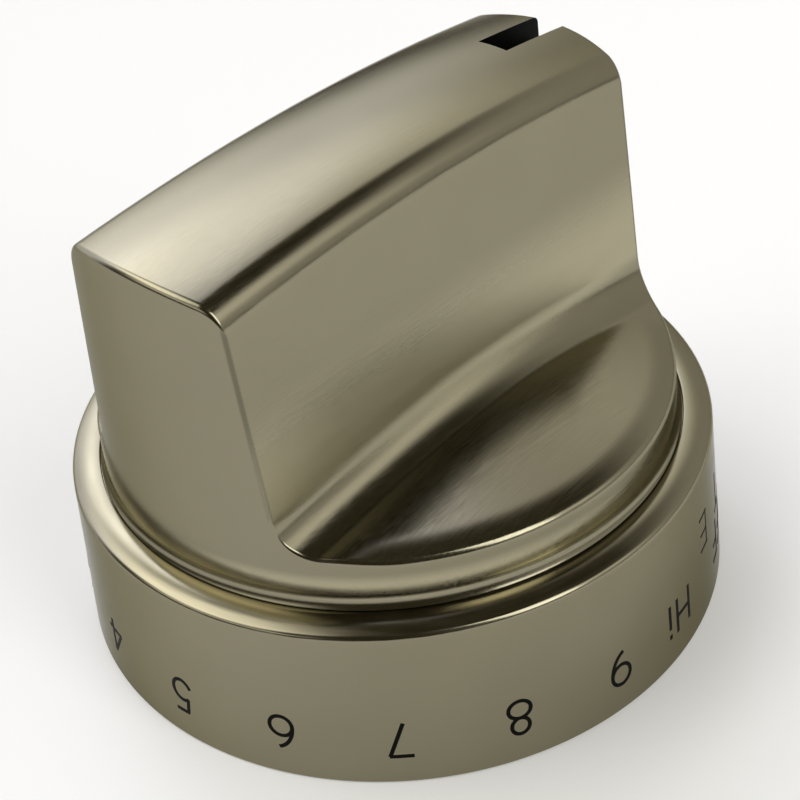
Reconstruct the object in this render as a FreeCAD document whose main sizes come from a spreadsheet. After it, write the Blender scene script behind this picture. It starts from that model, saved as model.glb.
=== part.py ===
import FreeCAD, Part
import math
import os
import re

import Sketcher

# Oven control knob, in millimetres. A die-cast grip with a straight blade stands in a
# round dial skirt; a plastic stem hub is screwed up into the grip and clamps the skirt
# between them, and a spring ring closes the hub's split boss on the appliance's stem.
# Z is the knob's axis and points out of the panel, z = 0 is the face of the skirt that
# meets the panel, X runs along the blade, and the pointer slot is at +X.

doc = FreeCAD.newDocument("oven_control_knob")

# Two points closer than this, in millimetres, count as one.
TOUCHING = 0.01

# Driving dimensions: name, value in millimetres or degrees, what it is.
SIZES = [
    ("dial_base_radius", 28.0, "outside of the dial skirt at the panel"),
    ("dial_flare", 0.85, "how much wider the skirt is at the panel than at its top edge"),
    ("dial_wall", 1.8, "wall of the skirt at its top edge"),
    ("dial_band_width", 2.4, "width of the polished band on top of the skirt"),
    ("dial_band_rise", 0.8, "rise of the band from the skirt's edge to the seam"),
    ("dial_band_radius", 1.9, "crown of the band"),
    ("dial_edge_rounding", 0.25, "rounding of the skirt's top edge"),
    ("dial_foot_break", 0.15, "broken edge of the skirt at the panel"),
    ("seam_height", 15.6, "height of the seam between skirt and grip"),
    ("seam_gap", 0.15, "gap all round between the grip's foot and the skirt"),
    ("foot_seat", 0.5, "depth to which the grip's foot sits in the skirt"),
    ("flange_thickness", 1.6, "thickness of the skirt's inner flange"),
    ("flange_reach", 3.6, "how far the flange reaches in from the seam"),
    ("key_width", 4.0, "width of the keys that stop the skirt from turning"),
    ("key_reach", 1.4, "how far a key reaches into the skirt's flange"),
    ("foot_edge", 0.2, "height of the foot's upright edge above the seam"),
    ("cove_height", 1.1, "height of the cove above the foot"),
    ("cove_depth", 0.35, "depth of the cove above the foot"),
    ("cove_radius", 2.0, "radius of the cove"),
    ("wall_draft", 2.0, "draft of the grip's wall, degrees"),
    ("shoulder_rise", 4.2, "rise of the shoulders' rim above the seam"),
    ("shoulder_slope", 9.0, "slope of the shoulders up from their rim, degrees"),
    ("blade_rise", 23.3, "rise of the blade's crown above the shoulders' rim"),
    ("blade_top_width", 16.0, "width of the blade at the height of its crown"),
    ("blade_draft", 5.3, "draft of the blade's sides, degrees"),
    ("scoop_radius", 3.4, "hollow radius where the blade meets a shoulder"),
    ("crown_length_radius", 187.0, "crown of the blade's top along its length"),
    ("crown_width_radius", 26.0, "crown of the blade's top across its width"),
    ("long_edge_rounding", 2.7, "rounding of the blade's two long top edges"),
    ("rim_rounding", 0.4, "rounding of the edge all round the scoops and blade ends"),
    ("slot_width", 3.0, "width of the pointer slot"),
    ("slot_start", 15.9, "distance of the slot's inner end from the axis"),
    ("slot_depth", 4.0, "depth of the slot's floor below the blade's crown"),
    ("blank_allowance", 3.0, "stock above and round the grip that the cuts take away"),
    ("shoulder_wall", 2.2, "wall of the casting in the shoulders"),
    ("blade_wall", 3.0, "wall of the casting in the blade"),
    ("cavity_draft", 1.0, "draft inside the casting, degrees"),
    ("blade_rib", 1.6, "thickness of the two ribs inside the blade"),
    ("blade_rib_offset", 10.0, "distance of each rib from the axis"),
    ("well_clearance", 0.4, "clearance round and above the hub's boss in the casting"),
    ("root", 0.5, "how far a boss, key or rib is rooted in what carries it"),
    ("screw_inset", 4.7, "distance of the screws from the flange's opening"),
    ("screw_boss_radius", 2.9, "radius of the casting's screw bosses"),
    ("screw_radius", 1.45, "outer radius of a screw's thread"),
    ("screw_point_radius", 0.45, "radius of a screw's blunt point"),
    ("screw_point_length", 1.4, "length of a screw's point"),
    ("screw_head_radius", 2.7, "radius of a screw's head"),
    ("screw_head_height", 1.9, "height of a screw's head"),
    ("screw_head_rim", 0.75, "height of the upright rim of a screw's head"),
    ("screw_head_flat", 1.7, "radius of the flat on a screw's head"),
    ("screw_sink", 0.5, "depth of the sinks for the screws' heads"),
    ("screw_clearance", 0.15, "clearance round a screw in the hub"),
    ("thread_clearance", 0.05, "clearance round the thread in its boss"),
    ("pilot_roof", 0.8, "metal left between a pilot hole and the shoulder"),
    ("pilot_spare", 0.3, "depth of a pilot hole beyond the screw's point"),
    ("recess_reach", 1.35, "reach of each arm of a screw's cross recess"),
    ("recess_width", 0.7, "width of the cross recess"),
    ("recess_depth", 1.0, "depth of the cross recess"),
    ("clamp_reach", 2.4, "how far the hub's flange reaches under the skirt's flange"),
    ("hub_flange_thickness", 2.2, "thickness of the hub's flange"),
    ("hub_clearance", 0.15, "clearance between the hub and the skirt's flange"),
    ("hub_boss_wall", 1.5, "wall of the hub's boss at its mouth"),
    ("hub_mouth_height", 2.0, "height of the hub's mouth above the panel"),
    ("hub_rib_thickness", 1.4, "thickness of the hub's ribs"),
    ("hub_rib_gap", 1.9, "gap between a rib and the nearest screw head"),
    ("hub_rib_land", 1.0, "level part of a rib beside the boss"),
    ("hub_rib_end", 0.6, "height of a rib at its outer end"),
    ("stem_diameter", 6.0, "diameter of the appliance's stem"),
    ("stem_flat_depth", 1.4, "depth of the flat on the stem"),
    ("stem_clearance", 0.05, "clearance round the stem"),
    ("socket_depth", 18.0, "depth of the stem's socket from the hub's mouth"),
    ("socket_cap", 1.8, "plastic above the end of the socket"),
    ("lead_step", 1.1, "how much wider the lead-in is than the stem"),
    ("lead_length", 3.0, "length of the lead-in at the hub's mouth"),
    ("split_width", 1.2, "width of the splits in the hub's boss"),
    ("split_stop", 0.6, "boss left whole between the splits and the flange"),
    ("clip_width", 2.6, "width of the spring ring's strip"),
    ("clip_thickness", 0.7, "thickness of the spring ring's strip"),
    ("clip_inset", 4.0, "distance of the spring ring from the hub's mouth"),
    ("clip_seat", 0.5, "depth of the ring's groove in the boss"),
    ("clip_clearance", 0.1, "clearance of the ring in its groove"),
    ("clip_opening", 40.0, "opening of the spring ring, degrees"),
]

# Heights and radii that follow from the driving dimensions.
WORKED_OUT = {
    "dial_edge_radius": "dial_base_radius - dial_flare",
    "dial_edge_height": "seam_height - dial_band_rise",
    "seam_radius": "dial_edge_radius - dial_band_width",
    "foot_radius": "seam_radius - seam_gap",
    "wall_radius": "foot_radius - cove_depth",
    "flange_inner_radius": "seam_radius - flange_reach",
    "seat_height": "seam_height - foot_seat",
    "clamp_height": "seat_height - flange_thickness",
    "foot_top": "seam_height + foot_edge",
    "wall_start": "foot_top + cove_height",
    "shoulder_height": "seam_height + shoulder_rise",
    "shoulder_reach": "wall_radius - (shoulder_height - wall_start) * tan(wall_draft)",
    "grip_height": "shoulder_height + blade_rise",
    "blank_top": "grip_height + blank_allowance",
    "blank_top_radius": "wall_radius - (blank_top - wall_start) * tan(wall_draft)",
    "outside": "foot_radius + blank_allowance",
    "blade_half_width": "blade_top_width / 2",
    "crown_reach": "blade_half_width + blank_allowance",
    "crown_edge_height": "grip_height - crown_width_radius + sqrt(crown_width_radius ^ 2 - crown_reach ^ 2)",
    "cut_top": "blank_top + root",
    "cut_top_offset": "blade_half_width - (cut_top - grip_height) * tan(blade_draft)",
    "blade_foot_offset": "blade_half_width + (grip_height - shoulder_height) * tan(blade_draft)",
    "slot_floor": "grip_height - slot_depth",
    "cavity_radius": "wall_radius - shoulder_wall",
    "cavity_top": "shoulder_height - shoulder_wall",
    "cell_top": "slot_floor - blade_wall",
    "cell_top_radius": "wall_radius - (cell_top - wall_start) * tan(wall_draft) - blade_wall",
    "cell_top_half_width": "blade_half_width + (grip_height - cell_top) * tan(blade_draft) - blade_wall",
    "cell_top_half_length": "sqrt(cell_top_radius ^ 2 - cell_top_half_width ^ 2)",
    "hub_underside": "clamp_height - hub_flange_thickness",
    "spigot_radius": "flange_inner_radius - hub_clearance",
    "hub_flange_radius": "flange_inner_radius + clamp_reach",
    "lead_radius": "stem_diameter / 2 + lead_step",
    "hub_boss_radius": "lead_radius + hub_boss_wall",
    "socket_end": "hub_mouth_height + socket_depth",
    "hub_top": "socket_end + socket_cap",
    "well_top": "hub_top + well_clearance",
    "stem_socket_radius": "stem_diameter / 2 + stem_clearance",
    "stem_socket_flat": "stem_diameter / 2 - stem_flat_depth + stem_clearance",
    "stem_socket_chord": "sqrt(stem_socket_radius ^ 2 - stem_socket_flat ^ 2)",
    "clip_inner_radius": "hub_boss_radius - clip_seat",
    "clip_low": "hub_mouth_height + clip_inset",
    "clip_high": "clip_low + clip_width",
    "screw_circle": "flange_inner_radius - screw_inset",
    "screw_offset": "screw_circle * sqrt(0.5)",
    "screw_head_seat": "hub_underside + screw_sink",
    "screw_head_bottom": "screw_head_seat - screw_head_height",
    "pilot_end": "shoulder_height - pilot_roof",
    "screw_tip": "pilot_end - pilot_spare",
    "hub_rib_reach": "screw_circle - screw_head_radius - hub_rib_gap",
}

sheet = doc.addObject("Spreadsheet::Sheet", "sizes")
for row, (alias, number, meaning) in enumerate(SIZES, start=1):
    sheet.set(f"A{row}", meaning)
    sheet.set(f"B{row}", str(number))
    sheet.setAlias(f"B{row}", alias)
doc.recompute()

ALIASES = {alias for alias, _, _ in SIZES}


def bound(text):
    """Write an expression of size names as one that the document understands."""

    def swap(match):
        word = match.group(0)
        if word in ALIASES:
            return f"sizes.{word}"
        if word in WORKED_OUT:
            return f"({bound(WORKED_OUT[word])})"
        return word

    return re.sub(r"[a-z_]+", swap, text)


def size(text):
    """The present value of an expression of size names."""
    return float(sheet.evalExpression(bound(text)))


def new_body(label):
    body = doc.addObject("PartDesign::Body", label)
    body.Label = label
    return body


def origin_feature(body, role):
    return next(part for part in body.Origin.OriginFeatures if part.Role == role)


def new_sketch(body, name, role, height=None):
    """A sketch on one of the body's own origin planes, or at a height above it."""
    sketch = body.newObject("Sketcher::SketchObject", name)
    sketch.AttachmentSupport = [(origin_feature(body, role), "")]
    sketch.MapMode = "FlatFace"
    if height is not None:
        sketch.setExpression("AttachmentOffset.Base.z", bound(height))
    return sketch


def fix_point(sketch, edge, end, place, name):
    """Tie a point of the sketch to a pair of expressions."""
    for axis, kind, text in ((-2, "DistanceX", place[0]), (-1, "DistanceY", place[1])):
        if text == "0":
            sketch.addConstraint(Sketcher.Constraint("PointOnObject", edge, end, axis))
            continue
        index = sketch.addConstraint(Sketcher.Constraint(kind, -1, 1, edge, end, size(text)))
        label = f"{name}_{kind[-1].lower()}"
        sketch.renameConstraint(index, label)
        sketch.setExpression(f"Constraints.{label}", bound(text))


def outline(sketch, corners, arcs=None, start="corner"):
    """A closed outline. Each corner is a pair of expressions; arcs gives, for the edge that
    leaves a corner, its radius and +1 where its centre lies to the left of the way along."""
    arcs = arcs or {}
    points = [FreeCAD.Vector(size(x), size(y), 0) for x, y in corners]
    ends = []
    for i, point in enumerate(points):
        following = points[(i + 1) % len(points)]
        if i not in arcs:
            edge = sketch.addGeometry(Part.LineSegment(point, following), False)
            ends.append((edge, 1, 2))
            continue
        radius, side = size(arcs[i][0]), arcs[i][1]
        chord = following - point
        left = FreeCAD.Vector(-chord.y, chord.x, 0).normalize()
        reach = max(radius ** 2 - (chord.Length / 2) ** 2, 0.0) ** 0.5
        centre = (point + following) * 0.5 + left * (reach * side)
        circle = Part.Circle(centre, FreeCAD.Vector(0, 0, 1), radius)
        first, last = (point, following) if side > 0 else (following, point)
        arc = Part.ArcOfCircle(circle, circle.parameter(first), circle.parameter(last))
        edge = sketch.addGeometry(arc, False)
        ends.append((edge, 1, 2) if side > 0 else (edge, 2, 1))
    for i, (edge, begin, end) in enumerate(ends):
        next_edge, next_begin, _ = ends[(i + 1) % len(ends)]
        sketch.addConstraint(Sketcher.Constraint("Coincident", edge, end, next_edge, next_begin))
        fix_point(sketch, edge, begin, corners[i], f"{start}_{i}")
        if i in arcs:
            index = sketch.addConstraint(Sketcher.Constraint("Radius", edge, size(arcs[i][0])))
            sketch.renameConstraint(index, f"{start}_{i}_radius")
            sketch.setExpression(f"Constraints.{start}_{i}_radius", bound(arcs[i][0]))


def circle(sketch, x, y, radius, name="hole"):
    centre = FreeCAD.Vector(size(x), size(y), 0)
    edge = sketch.addGeometry(Part.Circle(centre, FreeCAD.Vector(0, 0, 1), size(radius)), False)
    index = sketch.addConstraint(Sketcher.Constraint("Radius", edge, size(radius)))
    sketch.renameConstraint(index, f"{name}_radius")
    sketch.setExpression(f"Constraints.{name}_radius", bound(radius))
    fix_point(sketch, edge, 3, (x, y), name)


def rectangle(sketch, left, right, low, high, start="corner"):
    outline(sketch, [(left, low), (right, low), (right, high), (left, high)], start=start)


def revolve(body, sketch, kind="Revolution", name="turned", angle=None, axis="V_Axis"):
    feature = body.newObject(f"PartDesign::{kind}", name)
    feature.Profile = sketch
    feature.ReferenceAxis = (sketch, [axis])
    feature.Angle = 360
    if angle is not None:
        feature.setExpression("Angle", bound(angle))
    doc.recompute()
    return feature


def extrude(body, sketch, kind, name, length, upward=True, taper=None):
    """A pad or pocket of a level sketch, upward or downward."""
    feature = body.newObject(f"PartDesign::{kind}", name)
    feature.Profile = sketch
    feature.setExpression("Length", bound(length))
    feature.Reversed = upward == (kind == "Pocket")
    if taper is not None:
        feature.setExpression("TaperAngle", bound(taper))
    doc.recompute()
    return feature


def repeat_round(body, features, count, name):
    """Copies of features, evenly round the knob's axis."""
    pattern = body.newObject("PartDesign::PolarPattern", name)
    pattern.Originals = features
    pattern.Axis = (origin_feature(body, "Z_Axis"), [""])
    pattern.Angle = 360
    pattern.Occurrences = count
    body.Tip = pattern
    doc.recompute()
    return pattern


def round_edges(body, name, radius, chosen):
    """A fillet on every edge of the body so far for which chosen(edge) is true."""
    base = body.Tip
    edges = [f"Edge{i}" for i, edge in enumerate(base.Shape.Edges, start=1) if chosen(edge)]
    feature = body.newObject("PartDesign::Fillet", name)
    feature.Base = (base, edges)
    feature.setExpression("Radius", bound(radius))
    doc.recompute()
    return feature


def edge_points(edge, count=7):
    first, last = edge.FirstParameter, edge.LastParameter
    return [edge.valueAt(first + (last - first) * i / (count - 1)) for i in range(count)]


def off_axis(point):
    return math.hypot(point.x, point.y)


def make_grip():
    """One casting: a turned body, crowned on top, whose two sides are cut away above sloping
    shoulders so that a straight blade is left across it, hollow underneath."""
    body = new_body("grip")

    turned = new_sketch(body, "grip_profile", "XZ_Plane")
    outline(turned, [
        ("0", "seat_height"),
        ("foot_radius", "seat_height"),
        ("foot_radius", "foot_top"),
        ("wall_radius", "wall_start"),
        ("blank_top_radius", "blank_top"),
        ("0", "blank_top"),
    ], arcs={2: ("cove_radius", -1)})
    revolve(body, turned, name="grip_turned")

    # The crown is a barrel: an arc across the blade, carried round a far-off level axis.
    crown = new_sketch(body, "crown_profile", "YZ_Plane")
    outline(crown, [
        ("-outside", "blank_top + blank_allowance"),
        ("-outside", "crown_edge_height"),
        ("-crown_reach", "crown_edge_height"),
        ("crown_reach", "crown_edge_height"),
        ("outside", "crown_edge_height"),
        ("outside", "blank_top + blank_allowance"),
    ], arcs={2: ("crown_width_radius", -1)})
    axis_height = "grip_height - crown_length_radius"
    reach, level = size("crown_reach"), size(axis_height)
    line = Part.LineSegment(FreeCAD.Vector(-reach, level, 0), FreeCAD.Vector(reach, level, 0))
    axis = crown.addGeometry(line, True)
    fix_point(crown, axis, 1, ("-crown_reach", axis_height), "axis_start")
    fix_point(crown, axis, 2, ("crown_reach", axis_height), "axis_end")
    crown_cut = revolve(body, crown, kind="Groove", name="crown_cut", axis="Axis0")
    crown_cut.setExpression("Angle", bound("4 * asin(outside / crown_length_radius)"))
    crown_cut.Midplane = True
    doc.recompute()

    side = new_sketch(body, "side_profile", "YZ_Plane")
    outline(side, [
        ("cut_top_offset", "cut_top"),
        ("blade_foot_offset", "shoulder_height"),
        ("outside", "shoulder_height"),
        ("outside", "cut_top"),
    ])
    side_cut = body.newObject("PartDesign::Pocket", "side_cut")
    side_cut.Profile = side
    side_cut.SideType = "Symmetric"
    side_cut.setExpression("Length", bound("2 * outside"))
    doc.recompute()
    both = body.newObject("PartDesign::Mirrored", "side_mirror")
    both.Originals = [side_cut]
    both.MirrorPlane = (origin_feature(body, "XZ_Plane"), [""])
    body.Tip = both
    doc.recompute()

    # The shoulders slope up from their rim all round, as one low cone through the blade.
    cone = new_sketch(body, "shoulder_profile", "XZ_Plane")
    outline(cone, [
        ("0", "shoulder_height - root"),
        ("shoulder_reach + root * tan(wall_draft)", "shoulder_height - root"),
        ("shoulder_reach", "shoulder_height"),
        ("0", "shoulder_height + shoulder_reach * tan(shoulder_slope)"),
    ])
    revolve(body, cone, name="shoulders")

    top, half, lean = size("grip_height"), size("blade_half_width"), size("tan(blade_draft)")
    rim_height, rim_reach, rise = size("shoulder_height"), size("shoulder_reach"), size("tan(shoulder_slope)")
    middle = size("(shoulder_height + grip_height) / 2")

    def is_scoop(edge):
        points = edge_points(edge)
        on_side = all(abs(abs(p.y) - half - (top - p.z) * lean) < TOUCHING for p in points)
        return on_side and all(abs(p.z - rim_height - (rim_reach - off_axis(p)) * rise) < TOUCHING for p in points)

    round_edges(body, "scoops", "scoop_radius", is_scoop)

    def is_long_edge(edge):
        points = edge_points(edge)
        on_side = all(abs(abs(p.y) - half - (top - p.z) * lean) < TOUCHING for p in points)
        return on_side and points[0].x * points[-1].x < 0 and all(p.z > middle for p in points)

    round_edges(body, "long_edges", "long_edge_rounding", is_long_edge)

    wall, start, slope = size("wall_radius"), size("wall_start"), size("tan(wall_draft)")
    lowest = size("(wall_start + shoulder_height) / 2")

    def is_rim(edge):
        points = edge_points(edge)
        on_wall = all(abs(off_axis(p) - wall + (p.z - start) * slope) < TOUCHING for p in points)
        return on_wall and all(p.z > lowest for p in points)

    round_edges(body, "rim_edges", "rim_rounding", is_rim)

    slot = new_sketch(body, "slot_profile", "XY_Plane", "slot_floor")
    rectangle(slot, "slot_start", "outside", "-slot_width / 2", "slot_width / 2")
    extrude(body, slot, "Pocket", "pointer_slot", "slot_depth + blank_allowance")

    cavity = new_sketch(body, "cavity_profile", "XY_Plane", "seat_height")
    circle(cavity, "0", "0", "cavity_radius")
    extrude(body, cavity, "Pocket", "round_cavity", "cavity_top - seat_height", taper="-cavity_draft")

    well = new_sketch(body, "well_profile", "XY_Plane", "seat_height")
    circle(well, "0", "0", "hub_boss_radius + well_clearance")
    extrude(body, well, "Pocket", "hub_well", "well_top - seat_height")

    def cell(sketch, height, left, right, name):
        widen = f"(cell_top - {height}) * tan(cavity_draft)"
        half_width = f"(cell_top_half_width + {widen})"
        rectangle(sketch, left or f"-(cell_top_half_length + {widen})", right or f"cell_top_half_length + {widen}",
                  f"-{half_width}", half_width, start=name)

    low = new_sketch(body, "blade_cavity_profile", "XY_Plane", "seat_height")
    cell(low, "seat_height", None, None, "cavity")
    extrude(body, low, "Pocket", "blade_cavity", "well_top - seat_height", taper="-cavity_draft")

    high = new_sketch(body, "blade_cells_profile", "XY_Plane", "well_top")
    near, far = "blade_rib_offset - blade_rib / 2", "blade_rib_offset + blade_rib / 2"
    cell(high, "well_top", None, f"-({far})", "cell_left")
    cell(high, "well_top", f"-({near})", near, "cell_middle")
    cell(high, "well_top", far, None, "cell_right")
    extrude(body, high, "Pocket", "blade_cells", "cell_top - well_top", taper="-cavity_draft")

    boss = new_sketch(body, "boss_profile", "XY_Plane", "seat_height")
    circle(boss, "screw_offset", "screw_offset", "screw_boss_radius")
    boss_pad = extrude(body, boss, "Pad", "screw_boss", "cavity_top - seat_height + root")
    repeat_round(body, [boss_pad], 4, "screw_bosses")
    pilot = new_sketch(body, "pilot_profile", "XY_Plane", "seat_height")
    circle(pilot, "screw_offset", "screw_offset", "screw_radius + thread_clearance")
    pilot_hole = extrude(body, pilot, "Pocket", "pilot_hole", "pilot_end - seat_height")
    repeat_round(body, [pilot_hole], 4, "pilot_holes")
    return body


def make_dial_skirt():
    """The ring that carries the dial's numbers, with a flange inside its top for the clamp."""
    body = new_body("dial_skirt")
    profile = new_sketch(body, "skirt_profile", "XZ_Plane")
    outline(profile, [
        ("dial_edge_radius - dial_wall", "0"),
        ("dial_base_radius - dial_foot_break", "0"),
        ("dial_base_radius", "dial_foot_break"),
        ("dial_edge_radius", "dial_edge_height"),
        ("seam_radius", "seam_height"),
        ("seam_radius", "seat_height"),
        ("flange_inner_radius", "seat_height"),
        ("flange_inner_radius", "clamp_height"),
        ("dial_edge_radius - dial_wall", "clamp_height"),
    ], arcs={3: ("dial_band_radius", 1)})
    revolve(body, profile, name="skirt_turned")

    keyway = new_sketch(body, "keyway_profile", "XY_Plane", "clamp_height")
    rectangle(keyway, "-key_width / 2 - hub_clearance", "key_width / 2 + hub_clearance",
              "flange_inner_radius - root", "flange_inner_radius + key_reach + hub_clearance")
    keyway_cut = extrude(body, keyway, "Pocket", "keyway", "flange_thickness")
    repeat_round(body, [keyway_cut], 2, "keyways")

    edge_radius, edge_height = size("dial_edge_radius"), size("dial_edge_height")

    def is_top_edge(edge):
        points = edge_points(edge)
        at_height = all(abs(p.z - edge_height) < TOUCHING for p in points)
        return at_height and all(abs(off_axis(p) - edge_radius) < TOUCHING for p in points)

    round_edges(body, "skirt_top_edge", "dial_edge_rounding", is_top_edge)
    return body


def make_stem_hub():
    """The moulded hub: a flange that clamps the skirt, a split boss with a D-shaped socket
    for the stem, four ribs and two keys."""
    body = new_body("stem_hub")
    profile = new_sketch(body, "hub_profile", "XZ_Plane")
    outline(profile, [
        ("0", "hub_mouth_height"),
        ("hub_boss_radius", "hub_mouth_height"),
        ("hub_boss_radius", "hub_underside"),
        ("hub_flange_radius", "hub_underside"),
        ("hub_flange_radius", "clamp_height"),
        ("spigot_radius", "clamp_height"),
        ("spigot_radius", "seat_height"),
        ("hub_boss_radius", "seat_height"),
        ("hub_boss_radius", "hub_top"),
        ("0", "hub_top"),
    ])
    revolve(body, profile, name="hub_turned")

    key = new_sketch(body, "key_profile", "XY_Plane", "clamp_height")
    rectangle(key, "-key_width / 2", "key_width / 2", "spigot_radius - root", "flange_inner_radius + key_reach")
    key_pad = extrude(body, key, "Pad", "key", "flange_thickness")
    repeat_round(body, [key_pad], 2, "keys")

    # The ribs run from the boss towards the screws, and start above the spring ring's groove.
    rib = new_sketch(body, "rib_profile", "XZ_Plane")
    rib.AttachmentOffset = FreeCAD.Placement(FreeCAD.Vector(), FreeCAD.Rotation(FreeCAD.Vector(0, 1, 0), 45))
    rib_bottom = "clip_high + 2 * clip_clearance"
    outline(rib, [
        ("hub_boss_radius - root", rib_bottom),
        ("hub_boss_radius + hub_rib_land", rib_bottom),
        ("hub_rib_reach", "hub_underside - hub_rib_end"),
        ("hub_rib_reach", "hub_underside + root"),
        ("hub_boss_radius - root", "hub_underside + root"),
    ])
    rib_pad = body.newObject("PartDesign::Pad", "rib")
    rib_pad.Profile = rib
    rib_pad.SideType = "Symmetric"
    rib_pad.setExpression("Length", bound("hub_rib_thickness"))
    doc.recompute()
    repeat_round(body, [rib_pad], 4, "ribs")

    groove = new_sketch(body, "clip_groove_profile", "XZ_Plane")
    rectangle(groove, "clip_inner_radius", "hub_boss_radius + root",
              "clip_low - clip_clearance", "clip_high + clip_clearance")
    revolve(body, groove, kind="Groove", name="clip_groove")

    # The flat faces the pointer slot.
    socket = new_sketch(body, "socket_profile", "XY_Plane", "hub_mouth_height")
    outline(socket, [
        ("stem_socket_flat", "stem_socket_chord"),
        ("-stem_socket_radius", "0"),
        ("stem_socket_flat", "-stem_socket_chord"),
    ], arcs={0: ("stem_socket_radius", 1), 1: ("stem_socket_radius", 1)})
    extrude(body, socket, "Pocket", "stem_socket", "socket_depth")

    lead = new_sketch(body, "lead_profile", "XY_Plane", "hub_mouth_height")
    circle(lead, "0", "0", "lead_radius")
    extrude(body, lead, "Pocket", "lead_in", "lead_length")

    split = new_sketch(body, "split_profile", "XY_Plane", "hub_mouth_height")
    rectangle(split, "-hub_boss_radius - root", "hub_boss_radius + root", "-split_width / 2", "split_width / 2")
    extrude(body, split, "Pocket", "split", "hub_underside - split_stop - hub_mouth_height")

    hole = new_sketch(body, "screw_hole_profile", "XY_Plane", "hub_underside")
    circle(hole, "screw_offset", "screw_offset", "screw_radius + screw_clearance")
    hole_cut = extrude(body, hole, "Pocket", "screw_hole", "seat_height - hub_underside")
    sink = new_sketch(body, "screw_sink_profile", "XY_Plane", "hub_underside")
    circle(sink, "screw_offset", "screw_offset", "screw_head_radius + screw_clearance")
    sink_cut = extrude(body, sink, "Pocket", "head_sink", "screw_sink")
    repeat_round(body, [hole_cut, sink_cut], 4, "screw_holes")
    return body


def make_clip_ring():
    """A ring of spring steel, open on one side, that squeezes the split boss."""
    body = new_body("clip_ring")
    strip = new_sketch(body, "clip_profile", "XZ_Plane")
    rectangle(strip, "clip_inner_radius", "clip_inner_radius + clip_thickness", "clip_low", "clip_high")
    revolve(body, strip, name="clip_turned", angle="360 - clip_opening")
    body.setExpression("Placement.Rotation.Angle", bound("clip_opening / 2"))
    return body


def make_screws():
    """Four identical pan-head screws, driven up into the casting's bosses."""
    body = new_body("hub_screws")
    body.AllowCompound = True
    profile = new_sketch(body, "screw_profile", "XZ_Plane")
    profile.setExpression("AttachmentOffset.Base.x", bound("screw_circle"))
    outline(profile, [
        ("0", "screw_head_bottom"),
        ("screw_head_flat", "screw_head_bottom"),
        ("screw_head_radius", "screw_head_seat - screw_head_rim"),
        ("screw_head_radius", "screw_head_seat"),
        ("screw_radius", "screw_head_seat"),
        ("screw_radius", "screw_tip - screw_point_length"),
        ("screw_point_radius", "screw_tip"),
        ("0", "screw_tip"),
    ])
    turned = revolve(body, profile, name="screw_turned")

    # The cross recess is drawn from one arm, walked round by quarter turns.
    recess = new_sketch(body, "recess_profile", "XY_Plane", "screw_head_bottom")
    arm = [("recess_reach", "-recess_width / 2"), ("recess_reach", "recess_width / 2"),
           ("recess_width / 2", "recess_width / 2")]
    corners = []
    for turn in range(4):
        corners += arm
        arm = [(f"-({y})", x) for x, y in arm]
    outline(recess, [(f"screw_circle + {x}", y) for x, y in corners])
    cut = extrude(body, recess, "Pocket", "recess", "recess_depth")
    body.setExpression("Placement.Rotation.Angle", "45")
    repeat_round(body, [turned, cut], 4, "screws")
    return body


bodies = [make_grip(), make_dial_skirt(), make_stem_hub(), make_clip_ring(), make_screws()]
doc.recompute()

for item in doc.Objects:
    if "Invalid" in item.State or "Error" in item.State:
        raise RuntimeError(f"{item.Name} failed: {item.State}")

SOLIDS = {"grip": 1, "dial_skirt": 1, "stem_hub": 1, "clip_ring": 1, "hub_screws": 4}
os.makedirs("parts", exist_ok=True)
for body in bodies:
    shape = body.Shape
    if shape.isNull() or not shape.isValid():
        raise RuntimeError(f"{body.Label} has no valid shape")
    if len(shape.Solids) != SOLIDS[body.Label]:
        raise RuntimeError(f"{body.Label} has {len(shape.Solids)} solids")
    shape.exportStep(f"parts/{body.Label}.step")
    box = shape.BoundBox
    print(f"{body.Label}: {len(shape.Solids)} solids, {shape.Volume:.0f} mm3, "
          f"z {box.ZMin:.2f} to {box.ZMax:.2f}, x {box.XMin:.2f} to {box.XMax:.2f}")
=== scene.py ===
# %% [markdown]
# # An oven control knob
#
# The real knob is a die-cast, satin nickel grip that stands in a turned metal dial. This
# lesson dresses the CAD model of it: the two metal pieces get smooth surfaces worked out
# by formula, the numbers get their ink, and the plastic and steel underneath get finishes.
# The frame is loaded first, so that every size below can be set against it.

# %% Load the frame
import math

import bmesh
import bpy
import mathutils
import numpy as np
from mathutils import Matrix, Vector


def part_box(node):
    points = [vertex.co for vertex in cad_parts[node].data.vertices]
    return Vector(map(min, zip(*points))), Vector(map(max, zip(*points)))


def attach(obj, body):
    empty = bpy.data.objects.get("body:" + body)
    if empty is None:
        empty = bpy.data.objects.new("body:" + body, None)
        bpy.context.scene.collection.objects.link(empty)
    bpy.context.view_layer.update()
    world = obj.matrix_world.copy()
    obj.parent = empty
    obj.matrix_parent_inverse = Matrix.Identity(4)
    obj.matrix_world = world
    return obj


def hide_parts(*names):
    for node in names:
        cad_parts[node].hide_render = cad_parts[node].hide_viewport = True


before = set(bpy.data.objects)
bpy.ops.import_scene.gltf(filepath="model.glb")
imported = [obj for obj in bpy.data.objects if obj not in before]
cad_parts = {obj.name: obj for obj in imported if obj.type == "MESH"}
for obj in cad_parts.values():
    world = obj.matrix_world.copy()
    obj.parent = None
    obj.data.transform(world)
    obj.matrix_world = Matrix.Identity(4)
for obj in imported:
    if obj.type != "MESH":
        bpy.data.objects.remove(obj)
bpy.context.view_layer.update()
MM = 0.001
grip_low, grip_high = (np.array(corner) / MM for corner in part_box("grip"))
skirt_low, skirt_high = (np.array(corner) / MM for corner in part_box("dial_skirt"))
print("grip", grip_low.round(2), grip_high.round(2), "skirt", skirt_low.round(2), skirt_high.round(2))

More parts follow.
